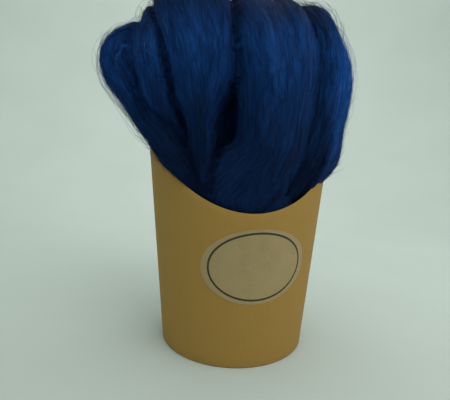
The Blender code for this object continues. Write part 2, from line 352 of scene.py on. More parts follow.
bpy.ops.mesh.primitive_circle_add(vertices=LABEL_POINTS, radius=1.0, fill_type="NGON")
label = bpy.context.object
label.name = "paper_sticker"
bpy.ops.object.mode_set(mode="EDIT")
bpy.ops.mesh.select_all(action="SELECT")
for _ in LABEL_RINGS[1:]:
    bpy.ops.mesh.inset(thickness=RING_STEP)
bpy.ops.object.mode_set(mode="OBJECT")
flat = read_points(label.data)
ring = np.rint((1.0 - np.hypot(flat[:, 0], flat[:, 1])) / RING_STEP).astype(int)
turn = np.arctan2(flat[:, 1], flat[:, 0])
half_size = np.array(LABEL_RINGS)[np.clip(ring, 0, len(LABEL_RINGS) - 1)]
u, v = half_size[:, 0] * np.cos(turn), half_size[:, 1] * np.sin(turn)
write_points(label.data, label_point(u, v, LABEL_LIFT))
for face in label.data.polygons:
    rings = sorted({int(ring[i]) for i in face.vertices})
    face.material_index = int(rings == [PRINTED_RING, PRINTED_RING + 1])
turn_faces_out()
outward = Vector((0.0, -1.0, 0.0))
if label.data.polygons[0].normal.dot(outward) < 0:
    label.data.flip_normals()
apply_modifier(label, "SOLIDIFY", thickness=LABEL_THICKNESS * MM, offset=1.0)
bpy.ops.object.shade_smooth_by_angle(angle=SHARP_EDGE)

# Uncoated cream label paper: matt and a little see-through, so the brown tints it. Its
# specks are 0.7 mm from one to the next, and its clouds 8 mm.
label_paper, shader = new_material("uncoated_cream_paper", {"Roughness": 0.65, "IOR": 1.5})
place = add_node(label_paper, "ShaderNodeTexCoord").outputs["Object"]
grain = add_node(
    label_paper, "ShaderNodeTexNoise", inputs={"Vector": place, "Scale": 1400.0, "Detail": 3.0}
)
clouds = add_node(
    label_paper, "ShaderNodeTexNoise", inputs={"Vector": place, "Scale": 120.0, "Detail": 2.0}
)
both = add_node(
    label_paper,
    "ShaderNodeMath",
    {"operation": "MULTIPLY_ADD"},
    {0: clouds.outputs["Fac"], 1: 0.8, 2: grain.outputs["Fac"]},
)
colour = ramp(label_paper, both.outputs["Value"], [(0.6, "#8b7850"), (1.0, "#968259")])
label_paper.node_tree.links.new(colour, shader.inputs["Base Color"])
add_bump(label_paper, shader, grain.outputs["Fac"], 0.15, 0.00005)

# Dark brown printing ink, soaked into the paper: the paper's grain shows through it.
label_ink, shader = new_material("dark_brown_print", {"Roughness": 0.6, "IOR": 1.5})
place = add_node(label_ink, "ShaderNodeTexCoord").outputs["Object"]
grain = add_node(
    label_ink, "ShaderNodeTexNoise", inputs={"Vector": place, "Scale": 2200.0, "Detail": 2.0}
)
colour = ramp(label_ink, grain.outputs["Fac"], [(0.3, "#1c1206"), (0.75, "#33240f")])
label_ink.node_tree.links.new(colour, shader.inputs["Base Color"])
label.data.materials.append(label_paper)
label.data.materials.append(label_ink)
finish_piece(label, "label", "label")


# ---------------------------------------------------------------------------------
# The wool is one long hank of carded sliver, folded back and forth. Each fold is a
# bundle that rises from the cup, turns over and goes back down behind. Fibres lie
# lengthwise in it and gather in soft ridges. A bundle is swept along its rows.
# ---------------------------------------------------------------------------------
# Places are in millimetres from the cup's axis, and turn is the compass direction in
# which a section is wide, in degrees from +X.
Row = namedtuple("Row", "x y z half_width half_depth turn")

LEFT_BIGHT = (
    Row(-14, -37, 84, 7, 6, 70),
    Row(-26, -39, 97, 8, 6, 60),
    Row(-36, -35, 111, 10, 7.5, 60),
    Row(-46, -28, 126, 13, 8.5, 70),
    Row(-57, -20, 141, 15, 9.5, 80),
    Row(-68, -13, 157, 17, 10.5, 85),
    Row(-76, -7, 168, 18, 11, 90),
    Row(-77, -3, 178.5, 18, 11, 90),
    Row(-70.5, 3, 188.5, 18, 10, 90),
    Row(-60, 8, 195, 18, 9.5, 90),
    Row(-45, 15, 189, 17, 9, 90),
    Row(-30, 18, 164, 16, 9, 90),
)
INNER_LEFT = (
    Row(-27, -24, 94, 8, 10, 0),
    Row(-34, -25, 113, 8, 11, 0),
    Row(-42, -26, 131, 8.5, 12, 0),
    Row(-50.5, -26, 149, 11, 14, 0),
    Row(-53.5, -24, 165, 12, 17, 0),
    Row(-54, -19, 179, 12.5, 16, 0),
    Row(-51.5, -6, 197, 13.5, 15, 0),
    Row(-50, 10, 200, 14, 14.5, 0),
    Row(-50, 26, 176, 15, 16, -15),
    Row(-45, 33, 150, 18, 19, -35),
    Row(-36, 32, 112, 17, 18, -40),
)
CENTRE = (
    Row(-27, -36, 90, 6.5, 9, 0),
    Row(-27, -36.5, 106, 6.5, 10, 0),
    Row(-27, -36, 122, 6.5, 11, 0),
    Row(-27.5, -34, 136, 7.5, 12, 0),
    Row(-28.5, -30, 148, 14, 15, 0),
    Row(-28.5, -27, 160, 19, 19, 0),
    Row(-30.5, -24, 178, 22, 21, 0),
    Row(-33.5, -20, 197, 23, 20, 0),
    Row(-34.5, -11, 212, 22, 18, 0),
    Row(-35, 4, 219, 23, 16.5, 0),
    Row(-33, 20, 209, 23, 18, 0),
    Row(-31, 30, 186, 22, 21, 0),
    Row(-26, 33, 152, 20, 23, 0),
    Row(-18, 29, 112, 18, 22, 0),
)
FRONT = (
    Row(-1, -25, 84, 28, 24, 0),
    Row(-2.5, -25, 96, 30.5, 25.5, 0),
    Row(4.8, -27, 109, 25, 26.5, 0),
    Row(11.5, -28, 122, 20, 28, 0),
    Row(14, -28, 140, 20.5, 28, 0),
    Row(14.5, -27, 160, 22.5, 28, 0),
    Row(13, -24, 180, 25, 24.5, 0),
    Row(11, -17, 195, 28, 19, 0),
    Row(10.2, -4, 205, 29.8, 17, 0),
    Row(9.8, 12, 204, 29.7, 18, 0),
    Row(13, 26, 186, 25, 22, 0),
    Row(12, 31, 160, 25, 25, 0),
    Row(9, 31, 132, 24, 26, 0),
    Row(5, 26, 104, 22, 24, 0),
)
FRONT_RIGHT = (
    Row(20, -35, 88, 9, 9, 15),
    Row(29, -36, 108, 10, 10.5, 20),
    Row(35, -36, 132, 10, 12, 25),
    Row(39, -34, 156, 11, 14, 25),
    Row(40, -30, 177, 11, 15, 20),
    Row(40, -20, 194, 12.5, 14, 10),
    Row(40, -5, 206, 13.5, 13.5, 0),
    Row(40, 13, 204.5, 13.5, 14, 0),
    Row(38, 28, 184, 14, 18, -15),
    Row(36, 34, 156, 15, 19, -25),
    Row(29, 32, 115, 15, 18, -30),
)
RIGHT_BAND = (
    Row(23, -33, 85, 12, 8.5, 25),
    Row(36.5, -32.5, 102, 13, 10.5, 35),
    Row(43, -28, 121, 16, 13, 45),
    Row(48.5, -21, 144, 18, 13, 50),
    Row(53.5, -17, 167, 19, 13.5, 50),
    Row(51.5, -13, 185, 19, 13.5, 45),
    Row(47, -1, 197.5, 17, 12.5, 20),
    Row(46, 14, 195, 16, 13, 0),
    Row(49, 26, 180, 17, 14, -30),
    Row(46.5, 31, 155, 19, 14, -45),
    Row(39, 32, 118, 17, 12, -45),
)
# What is packed into the cup, and the dome between the folds
PACKED = (
    Row(0, 0, 8, 47.5, 47.5, 0),
    Row(0, 0, 30, 49, 49, 0),
    Row(0, 0, 60, 51, 51, 0),
    Row(0, 1, 82, 51, 50, 0),
    Row(0, 6, 100, 49, 41, 0),
    Row(0, 8, 125, 46, 32, 0),
    Row(0, 4, 150, 42, 26, 0),
    Row(0, 0, 170, 37, 20, 0),
    Row(0, 0, 186, 24, 10, 0),
)
BUNDLES = {
    "left_bight": LEFT_BIGHT,
    "inner_left": INNER_LEFT,
    "centre": CENTRE,
    "front": FRONT,
    "front_right": FRONT_RIGHT,
    "right_band": RIGHT_BAND,
    "packed": PACKED,
}
SQUARENESS = 2.3  # a section's superellipse power, 2 being an ellipse
SQUARER = {"centre": 3.0, "front": 2.6}  # folds pressed flat in front
RIDGE = 0.035  # height of the broad ridges, as a share of the section
Wave = namedtuple("Wave", "height round shift drift")
WAVES = (
    # the broad ridges: how high, how many round a bundle, how far each bundle's are shifted
    # from the last one's, and how far they drift from row to row, in radians
    Wave(1.0, 5, 1.0, 0.35),
    Wave(0.7, 8, 2.1, -0.25),
)
POINTS_ROUND = 96
STEP = 2.2  # between stations along a bundle
PATH_POINTS = 400  # to measure a bundle's length with
LONGEST_BUNDLE = 400.0
TWIST = 0.0016  # how far the fibres drift round a bundle, in radians for each millimetre
Gather = namedtuple("Gather", "across length height parting")
GATHERS = (
    # ridges in which the fibres gather: how wide, how long and how high they are, and how
    # deep the partings between them go
    Gather(11.0, 46.0, 0.65, 1.0),
    Gather(5.5, 24.0, 0.35, 0.3),
    Gather(2.8, 13.0, 0.12, 0.0),
)
PARTING_WIDTH = 0.2  # in the noise's own measure, on both sides of where it is nought
FEWEST_RIDGES = 5
FADES = 5  # stretches round a bundle in which the partings come and go
WOOL_CLEARANCE = 1.1
RIM_CLEARANCE = 0.2
SPREAD = 3.0  # how far the wool may widen for each millimetre above the rim
HANGING_SPREAD = 0.8  # and where it hangs over the rim, for each above its lower edge
SOFTNESS = 0.5
HANGING_SOFTNESS = 2.0
HANGING_FULL = 3.0  # where it hangs this far or further, the hanging values hold
ON_AXIS = 1e-6  # the least distance from the axis that anything is divided by
TINY = 1e-9  # the least length that anything is divided by
Hang = namedtuple("Hang", "angle half_angle depth")
HANGS = (
    # where a fold hangs over the rim: the middle of the stretch and half its length, in
    # degrees round the cup from its front, and how far down the outside it comes
    Hang(74.0, 42.0, 18.0),
    Hang(-95.0, 37.0, 12.0),
    Hang(180.0, 60.0, 5.0),
    Hang(-180.0, 60.0, 5.0),
)
VOXEL = 1.3
FILL = 2.0  # the folds press together where they are nearer than twice this
SMOOTHING = 3  # passes, each of which moves a point by EASE of the way to its neighbours
EASE = 0.5
Crease = namedtuple("Crease", "one other width depth")
CREASES = (
    Crease("left_bight", "inner_left", 2.8, 3.2),
    Crease("inner_left", "centre", 1.4, 5.0),
    Crease("left_bight", "centre", 2.4, 3.0),
    Crease("centre", "front", 1.5, 4.5),
    Crease("front", "front_right", 2.4, 0.4),
    Crease("front_right", "right_band", 2.2, 2.6),
    Crease("front", "right_band", 2.4, 0.3),
)
OTHER_WIDTH = 2.4  # where two folds meet that the table doesn't name
OTHER_DEPTH = 0.6
CREASE_REACH = 3  # in widths
SLOT_GAP = 0.3  # the wool's gap to the card where it hangs over both its faces
SLOT_TOP = 0.3
SLOT_BELOW = 4.0
SLOT_SEGMENTS = 180
LAY_APART = 100.0  # between one bundle's pattern of fibres and the next one's
SHADE_LOW = 0.085  # heights in metres
SHADE_HIGH = 0.235
HEIGHT_PAINTED_SHADE = (
    # painted shade, as a grey over the wool's colour, from the rim to the top: darker low
    # in the cup's mouth and at the folds' tops, where less light falls
    (0.0, "#8c8c8c"),
    (0.22, "#8c8c8c"),
    (0.33, "#a8a8a8"),
    (0.55, "#dadada"),
    (0.62, "#e0e0e0"),
    (0.71, "#c0c0c0"),
    (0.77, "#9a9a9a"),
    (0.9, "#868686"),
)
SHADE_SIDE = 0.080  # from the middle to either side, in metres
SIDE_PAINTED_LIGHT = (
    # painted light, as a grey, from the left side to the right: the outer folds, most of all
    # the right one, are painted lighter as if lit from the sides
    (0.0, "#c6c6c6"),
    (0.14, "#c6c6c6"),
    (0.24, "#b2b2b2"),
    (0.8, "#b2b2b2"),
    (0.88, "#ffffff"),
)
HOLLOW_REACH = 0.016
HOLLOW_PAINTED_SHADE = (
    # painted shade in hollows and creases, as a grey, from a hollow to an open face, by how
    # much is open within HOLLOW_REACH
    (0.25, "#989898"),
    (0.68, "#ffffff"),
)
HOLLOW_RAYS = 6
STREAKS = (
    # metres from one to the next, across and along, of fine wisps and of locks
    (0.0009, 0.008),
    (0.0035, 0.022),
)


def along_rows(rows, positions):
    """Row values at fractional positions, on a smooth curve through all the rows."""
    table = np.array(rows, float)
    last = len(table) - 1
    start = np.minimum(positions.astype(int), last - 1)
    t = (positions - start)[:, None]
    before, here = table[np.maximum(start - 1, 0)], table[start]
    ahead, after = table[start + 1], table[np.minimum(start + 2, last)]
    bend = (2 * before - 5 * here + 4 * ahead - after) * t**2
    bend += (3 * here - before - 3 * ahead + after) * t**3
    return (2 * here + (ahead - before) * t + bend) / 2


def hang_depth(angle):
    """How far the wool hangs below the rim outside the wall, easing in from both sides."""
    turned = np.degrees((angle + math.pi) % (2 * math.pi) - math.pi)
    depth = np.zeros_like(turned)
    for hang in HANGS:
        away = np.minimum(np.abs(turned - hang.angle) / hang.half_angle, 1.0)
        depth += hang.depth * (1 + np.cos(math.pi * away)) / 2
    return depth


def clear_of_card(points, clearance):
    """Draws points in to the cup, below the rim or below the edge of what hangs over it."""
    radius = np.hypot(points[..., 0], points[..., 1])
    angle = np.arctan2(points[..., 0], -points[..., 1])
    hang = hang_depth(angle)
    line = rim_height(angle) + RIM_CLEARANCE - hang
    inside = cup_radius(np.minimum(points[..., 2], line)) - CARD - clearance
    hanging = np.clip(hang / HANGING_FULL, 0.0, 1.0)
    spread = SPREAD + (HANGING_SPREAD - SPREAD) * hanging
    limit = inside + spread * np.maximum(points[..., 2] - line, 0)
    softness = SOFTNESS + HANGING_SOFTNESS * hanging
    excess = radius - limit
    drawn = radius - (np.sqrt(excess**2 + softness**2) + excess) / 2
    share = drawn / np.maximum(radius, ON_AXIS)
    return points * np.stack([share, share, np.ones_like(share)], axis=-1)


def smooth_step(t):
    """Eases from 0 to 1, level at both ends."""
    return t * t * (3 - 2 * t)


def lengthwise_noise(rng, around, along, cells, length):
    """Noise from -1 to 1 that closes round a bundle and is long in its fibres' direction."""
    values = rng.uniform(-1, 1, (int(LONGEST_BUNDLE / length) + 3, cells))
    u, v = around / (2 * math.pi) * cells, along / length
    i, j = np.floor(v).astype(int), np.floor(u).astype(int)
    down, side = smooth_step(v - i), smooth_step(u - j)
    j, k = j % cells, (j + 1) % cells
    near = values[i, j] * (1 - side) + values[i, k] * side
    far = values[i + 1, j] * (1 - side) + values[i + 1, k] * side
    return near * (1 - down) + far * down


Bundle = namedtuple("Bundle", "points around along girth")


def sweep_bundle(rows, seed, squareness):
    """A bundle's surface as a grid of points, station by station, in mm from the axis."""
    fine = np.linspace(0, len(rows) - 1, PATH_POINTS)
    path = along_rows(rows, fine)[:, :3]
    walked = np.concatenate([[0], np.cumsum(np.linalg.norm(np.diff(path, axis=0), axis=1))])
    length = np.linspace(0, walked[-1], int(walked[-1] / STEP))
    positions = np.interp(length, walked, fine)
    row = along_rows(rows, positions)
    forward = np.gradient(row[:, :3], axis=0)
    forward /= np.linalg.norm(forward, axis=1, keepdims=True)
    turn = np.radians(row[:, 5])
    wide = np.stack([np.cos(turn), np.sin(turn), np.zeros_like(turn)], axis=1)
    wide -= forward * np.sum(wide * forward, axis=1, keepdims=True)
    wide /= np.linalg.norm(wide, axis=1, keepdims=True)
    deep = np.cross(forward, wide)
    angle = np.arange(POINTS_ROUND) * 2 * math.pi / POINTS_ROUND
    c, s = np.cos(angle)[None, :], np.sin(angle)[None, :]
    reach = (np.abs(c) ** squareness + np.abs(s) ** squareness) ** (-1 / squareness)
    place = positions[:, None]
    ridges = sum(
        wave.height * np.sin(wave.round * angle[None, :] + wave.shift * seed + wave.drift * place)
        for wave in WAVES
    )
    reach = reach * (1 + RIDGE * ridges)
    half_width, half_depth = row[:, 3, None] * reach * c, row[:, 4, None] * reach * s
    offset = wide[:, None, :] * half_width[..., None] + deep[:, None, :] * half_depth[..., None]
    along = np.broadcast_to(length[:, None], offset.shape[:2])
    around = angle[None, :] + TWIST * along
    girth = 2 * math.pi * float(np.mean(row[:, 3:5]))
    return Bundle(row[:, None, :3] + offset, around, along, girth)


def tube_faces(rings, sides):
    """Quads round a closed tube of rings, and its two end faces, all pointing out."""
    i, j = np.meshgrid(np.arange(rings - 1), np.arange(sides), indexing="ij")
    k = (j + 1) % sides
    corners = [i * sides + j, i * sides + k, (i + 1) * sides + k, (i + 1) * sides + j]
    quads = np.stack(corners, axis=-1).reshape(-1, 4)
    start = list(range(sides))[::-1]
    end = [(rings - 1) * sides + side for side in range(sides)]
    return quads.tolist() + [start, end]


def add_mesh(name, points, faces, lay, material):
    """A smooth mesh object from points in mm from the cup's axis, with its fibre lay."""
    mesh = bpy.data.meshes.new(name)
    mesh.from_pydata(((points + CUP_AXIS) * MM).tolist(), [], faces)
    mesh.shade_smooth()
    attribute = mesh.attributes.new("lay", "FLOAT_VECTOR", "POINT")
    attribute.data.foreach_set("vector", np.asarray(lay * MM, np.float32).ravel())
    mesh.materials.append(material)
    piece = bpy.data.objects.new(name, mesh)
    bpy.context.collection.objects.link(piece)
    return piece


def wool_material(name, stops, roughness):
    """Dyed carded wool: matt scaly fibres that gather in locks, with light and shade painted in."""
    material, shader = new_material(
        name, {"Roughness": roughness, "IOR": 1.55, "Specular IOR Level": 0.08}
    )
    lay = add_node(material, "ShaderNodeAttribute", {"attribute_name": "lay"}).outputs["Vector"]
    streaks = []
    for across, length in STREAKS:
        stretched = add_node(
            material,
            "ShaderNodeMapping",
            inputs={"Vector": lay, "Scale": (1 / across, 1 / across, 1 / length)},
        )
        noise = add_node(
            material,
            "ShaderNodeTexNoise",
            inputs={
                "Vector": stretched.outputs["Vector"],
                "Scale": 1.0,
                "Detail": 3.0,
                "Distortion": 0.8,
            },
        )
        streaks.append(noise.outputs["Fac"])
    mixed = add_node(
        material, "ShaderNodeMath", {"operation": "ADD"}, {0: streaks[1], 1: streaks[0]}
    )
    spread = add_node(
        material,
        "ShaderNodeMapRange",
        inputs={"Value": mixed.outputs["Value"], "From Min": 0.7, "From Max": 1.3},
    )
    colour = ramp(material, spread.outputs["Result"], stops)
    # painted shade by height: darker low in the cup's mouth and at the folds' tops, where
    # less light falls
    place = add_node(material, "ShaderNodeTexCoord").outputs["Object"]
    split = add_node(material, "ShaderNodeSeparateXYZ", inputs={"Vector": place})
    level = add_node(
        material,
        "ShaderNodeMapRange",
        inputs={"Value": split.outputs["Z"], "From Min": SHADE_LOW, "From Max": SHADE_HIGH},
    )
    shade = ramp(material, level.outputs["Result"], HEIGHT_PAINTED_SHADE)
    # painted light on the outer folds, from the left side to the right
    beside = add_node(
        material,
        "ShaderNodeMapRange",
        inputs={"Value": split.outputs["X"], "From Min": -SHADE_SIDE, "From Max": SHADE_SIDE},
    )
    painted_side_light = ramp(material, beside.outputs["Result"], SIDE_PAINTED_LIGHT)
    # painted shade in hollows and creases, darker where less is open within HOLLOW_REACH
    open_sky = add_node(
        material,
        "ShaderNodeAmbientOcclusion",
        {"samples": HOLLOW_RAYS},
        {"Distance": HOLLOW_REACH},
    )
    hollow = ramp(material, open_sky.outputs["AO"], HOLLOW_PAINTED_SHADE)
    dimmed = add_node(
        material, "ShaderNodeVectorMath", {"operation": "MULTIPLY"}, {0: hollow, 1: shade}
    )
    # the wool's colour with its painted side light
    side_lit = add_node(
        material, "ShaderNodeVectorMath", {"operation": "MULTIPLY"}, {0: colour, 1: painted_side_light}
    )
    shaded = add_node(
        material,
        "ShaderNodeVectorMath",
        {"operation": "MULTIPLY"},
        {0: side_lit.outputs["Vector"], 1: dimmed.outputs["Vector"]},
    )
    material.node_tree.links.new(shaded.outputs["Vector"], shader.inputs["Base Color"])
    add_bump(material, shader, mixed.outputs["Value"], 0.35, 0.0004)
    return material


wool = wool_material(
    "blue_dyed_carded_wool", [(0.2, "#124692"), (0.5, "#1657ae"), (0.8, "#1b65c3")], 0.9
)

# The bundles as raw tubes, joined; they then press together into one soft body.
bundles = [
    sweep_bundle(rows, seed, SQUARER.get(name, SQUARENESS))
    for seed, (name, rows) in enumerate(BUNDLES.items())
]
raw_points, raw_faces, raw_owner = [], [], []
for number, bundle in enumerate(bundles):
    stations = bundle.points.shape[0]
    first = sum(len(points) for points in raw_points)
    faces = tube_faces(stations, POINTS_ROUND)
    raw_points.append(bundle.points.reshape(-1, 3))
    raw_faces += [[corner + first for corner in face] for face in faces]
    raw_owner += [(number, index) for index in range(len(faces))]
raw = np.concatenate(raw_points)
body = add_mesh("wool_hank", raw, raw_faces, np.zeros_like(raw), wool)
bpy.context.view_layer.objects.active = body
body.select_set(True)


def read_normals(mesh):
    """The outward direction at each of a mesh's points."""
    normals = np.zeros(len(mesh.vertices) * 3, np.float32)
    mesh.vertex_normals.foreach_get("vector", normals)
    return normals.reshape(-1, 3).astype(float)


def swell(mesh, distance):
    """Moves the wool's skin out, or in again, so that its folds press together."""
    write_points(mesh, read_points(mesh) + read_normals(mesh) * distance * MM)


for distance in (FILL, -FILL):
    apply_modifier(body, "REMESH", mode="VOXEL", voxel_size=VOXEL * MM)
    apply_modifier(body, "SMOOTH", factor=EASE, iterations=SMOOTHING)
    swell(body.data, distance)
apply_modifier(body, "SMOOTH", factor=EASE, iterations=SMOOTHING)


def find_lay(points, tree):
    """For each point: its bundle, the angle round it and the length along it."""
    owner = np.zeros(len(points), int)
    around, along = np.zeros(len(points)), np.zeros(len(points))
    for index, point in enumerate(points):
        spot, _, face, _ = tree.find_nearest(point)
        number, local = raw_owner[face]
        bundle = bundles[number]
        stations, sides = bundle.points.shape[:2]
        i, j = divmod(min(local, (stations - 1) * sides - 1), sides)
        k = (j + 1) % sides
        corner = bundle.points[i, j]
        onward, sideways = bundle.points[i + 1, j] - corner, bundle.points[i, k] - corner
        offset = np.array(spot) - corner
        t = min(max(offset @ onward / (onward @ onward + TINY), 0.0), 1.0)
        u = min(max(offset @ sideways / (sideways @ sideways + TINY), 0.0), 1.0)
        owner[index] = number
        along[index] = bundle.along[i, j] + t * (bundle.along[i + 1, j] - bundle.along[i, j])
        around[index] = bundle.around[i, j] + u * 2 * math.pi / sides + TWIST * (
            along[index] - bundle.along[i, j]
        )
    return owner, around, along


def crease_depth(mesh, points, owner):
    """How far the skin is drawn in at each point by the creases between the folds."""
    names = list(BUNDLES)
    named = {frozenset((crease.one, crease.other)): crease for crease in CREASES}
    ends = np.zeros(len(mesh.edges) * 2, int)
    mesh.edges.foreach_get("vertices", ends)
    ends = ends.reshape(-1, 2)
    between = ends[owner[ends[:, 0]] != owner[ends[:, 1]]]
    pair = np.sort(owner[between], axis=1)
    drawn = np.zeros(len(points))
    for one in range(len(names)):
        for other in range(one + 1, len(names)):
            edge = between[(pair[:, 0] == one) & (pair[:, 1] == other)]
            if len(edge) == 0:
                continue
            tree = KDTree(len(edge))
            for index, (a, b) in enumerate(edge):
                tree.insert((points[a] + points[b]) / 2, index)
            tree.balance()
            crease = named.get(frozenset((names[one], names[other])))
            width = crease.width if crease else OTHER_WIDTH
            depth = crease.depth if crease else OTHER_DEPTH
            for index in np.flatnonzero((owner == one) | (owner == other)):
                away = tree.find(points[index])[2]
                if away < CREASE_REACH * width:
                    drawn[index] = max(drawn[index], depth * math.exp(-((away / width) ** 2)))
    return drawn


def cut_card_slot(piece):
    """Parts the wool from both faces of the card, where it hangs over the rim."""
    angle = np.arange(SLOT_SEGMENTS) * 2 * math.pi / SLOT_SEGMENTS
    top = rim_height(angle) + SLOT_TOP
    bottom = rim_height(angle) - hang_depth(angle) - SLOT_BELOW
    inner, outer = CARD + SLOT_GAP, -SLOT_GAP
    rings = [
        on_cup(angle, cup_radius(z) - inset, z)
        for inset, z in ((inner, bottom), (outer, bottom), (outer, top), (inner, top))
    ]
    corners = np.stack(rings, axis=1).reshape(-1, 3)
    faces = []
    for i in range(SLOT_SEGMENTS):
        j = (i + 1) % SLOT_SEGMENTS
        for k in range(4):
            m = (k + 1) % 4
            faces.append((i * 4 + k, j * 4 + k, j * 4 + m, i * 4 + m))
    ring_mesh = bpy.data.meshes.new("card_slot")
    ring_mesh.from_pydata(corners.tolist(), [], faces)
    ring = bpy.data.objects.new("card_slot", ring_mesh)
    bpy.context.collection.objects.link(ring)
    apply_modifier(piece, "BOOLEAN", operation="DIFFERENCE", solver="MANIFOLD", object=ring)
    bpy.data.objects.remove(ring)


raw_tree = BVHTree.FromPolygons([Vector(point) for point in raw], raw_faces)
points = read_points(body.data) / MM - CUP_AXIS
owner, around, along = find_lay(points, raw_tree)
normals = read_normals(body.data)
rise = np.zeros(len(points))
lay = np.zeros_like(points)
for number, bundle in enumerate(bundles):
    rng = np.random.default_rng(number)
    mine = owner == number
    for gather in GATHERS:
        cells = max(FEWEST_RIDGES, int(bundle.girth / gather.across))
        noise = lengthwise_noise(rng, around[mine], along[mine], cells, gather.length)
        fade = lengthwise_noise(rng, around[mine], along[mine], FADES, gather.length / 2)
        # a parting opens along a line where the noise is nought, and fades in and out
        parted = np.exp(-((noise / PARTING_WIDTH) ** 2)) * np.clip(0.5 + fade, 0.0, 1.0)
        rise[mine] += gather.height * noise - gather.parting * parted
    roll = bundle.girth / (2 * math.pi)
    lay_across = roll * np.cos(around[mine]) + LAY_APART * number
    lay_deep = roll * np.sin(around[mine])
    lay[mine] = np.stack([lay_across, lay_deep, along[mine]], axis=-1)
rise -= crease_depth(body.data, points, owner)
points = clear_of_card(points + normals * rise[:, None], WOOL_CLEARANCE)
write_points(body.data, (points + CUP_AXIS) * MM)
cut_card_slot(body)

# the cut moved and added points, so each takes the lay of the nearest one before it
uncut = KDTree(len(points))
for index, point in enumerate(points):
    uncut.insert(point, index)
uncut.balance()
cut_points = read_points(body.data) / MM - CUP_AXIS
lay = lay[[uncut.find(point)[1] for point in cut_points]]
body.data.shade_smooth()
attribute = body.data.attributes.get("lay") or body.data.attributes.new(
    "lay", "FLOAT_VECTOR", "POINT"
)
attribute.data.foreach_set("vector", np.asarray(lay * MM, np.float32).ravel())
finish_piece(body, "wool", "wool_roving")


# ---------------------------------------------------------------------------------
# Fibres that show singly. Some lie along the folds just over the skin, some stand off
# in long arcs with both ends tucked in, and most are short ends that frizz up. A few
# pale ones stray. They are drawn several times as thick as wool, so that they show.
# ---------------------------------------------------------------------------------
FibreKind = namedtuple("FibreKind", "count length thickness lift wander crimp ends points")
FIBRE_KINDS = {
    # lengths, radii and lifts off the skin run from the least to the most, in mm; wander
    # is in radians round the fold, crimp in mm, and ends is 1 where the tip stands free
    "lying": FibreKind(600, (7.0, 28.0), (0.04, 0.08), (0.02, 0.3), 0.12, 0.40, 0, 9),
    "arcs": FibreKind(220, (22.0, 70.0), (0.04, 0.07), (0.6, 5.0), 0.22, 0.6, 0, 13),
    "frizz": FibreKind(480, (5.0, 15.0), (0.05, 0.08), (1.0, 5.5), 0.20, 0.7, 1, 7),
    "down": FibreKind(1800, (3.0, 10.0), (0.035, 0.06), (0.4, 2.4), 0.14, 0.4, 1, 5),
    "stray": FibreKind(24, (7.0, 18.0), (0.05, 0.08), (0.6, 1.6), 0.40, 1.3, 0, 17),
}
FIBRE_SIDES = 3
COVERED = 3.5  # a raw fold this far under the pressed skin is covered by another
LONGEST_STEP = 1.8  # between points, as a share of an even step: past it, a fibre jumps
SHARPEST_TURN = 0.8  # the least cosine between one step and the next
CARD_MARGIN = 0.25
BEFORE_LAST = 1.001  # taken off the count of stations, it stops just short of the last one
TRIES = 3  # for each fibre wanted, as many lie where they can't be used
WANDER_WAVES = (0.5, 2.0)  # half waves of a fibre's wander over its length
CRIMP_WAVES = (0.25, 0.7)  # of its crimp, in radians for each millimetre
ROOTED = 0.08  # how deep its ends sit in the skin
STAND = 1.3  # the power by which a free end leaves the skin
ARCH = 0.8  # the power of an arc's half wave
TIP = 0.25  # thickness of its ends, as a share of its middle
TAPER = 4.0  # how fast that share grows, for each length of the fibre
FIBRE_SEED = 100
TONE_ACROSS = 500.0  # each fibre takes its tone from somewhere in this much pattern
TONE_ALONG = 300.0


def skin_tree(piece):
    """The piece's faces for looking up the nearest one, in mm from the cup's axis."""
    mesh = piece.data
    points = read_points(mesh) / MM - CUP_AXIS
    faces = [tuple(face.vertices) for face in mesh.polygons]
    return BVHTree.FromPolygons([Vector(point) for point in points], faces)


def on_bundle(bundle, around, along):
    """Points of a raw bundle at given angles round it and lengths along it."""
    stations, sides = bundle.points.shape[:2]
    row = np.clip(along / bundle.along[1, 0], 0, stations - BEFORE_LAST)
    column = ((around - TWIST * along) / (2 * math.pi) * sides) % sides
    i, j = row.astype(int), column.astype(int) % sides
    k = (j + 1) % sides
    down, side = (row - i)[..., None], (column - np.floor(column))[..., None]
    near = bundle.points[i, j] * (1 - side) + bundle.points[i, k] * side
    far = bundle.points[i + 1, j] * (1 - side) + bundle.points[i + 1, k] * side
    return near * (1 - down) + far * down


def lay_on_skin(paths, tree):
    """Each path's points moved to the wool's skin, with its normals and how deep they lay."""
    flat = paths.reshape(-1, 3)
    spots, normals, depth = np.zeros_like(flat), np.zeros_like(flat), np.zeros(len(flat))
    for index, point in enumerate(flat):
        spot, normal, _, _ = tree.find_nearest(point)
        spots[index], normals[index] = spot, normal
        depth[index] = (spot - Vector(point)).dot(normal)
    shape = paths.shape
    return spots.reshape(shape), normals.reshape(shape), depth.reshape(shape[:2])


def touches_card(paths):
    """Which paths pass through the card or lie in it."""
    radius = np.hypot(paths[..., 0], paths[..., 1])
    angle = np.arctan2(paths[..., 0], -paths[..., 1])
    low = paths[..., 2] < rim_height(angle) + CARD_MARGIN
    off = radius - cup_radius(paths[..., 2]) + CARD / 2
    lies_in = low & (np.abs(off) < CARD / 2 + CARD_MARGIN)
    passes = (low[:, 1:] | low[:, :-1]) & (off[:, 1:] * off[:, :-1] < 0)
    return lies_in.any(axis=1) | passes.any(axis=1)


def jumps(paths):
    """Which paths leave the skin's flow: they jump to another fold or turn sharply."""
    steps = np.diff(paths, axis=1)
    lengths = np.linalg.norm(steps, axis=-1)
    steps = steps / np.maximum(lengths[..., None], TINY)
    straight = np.sum(steps[:, 1:] * steps[:, :-1], axis=-1).min(axis=1)
    far = lengths.max(axis=1) > LONGEST_STEP * np.median(lengths, axis=1)
    return far | (straight < SHARPEST_TURN)


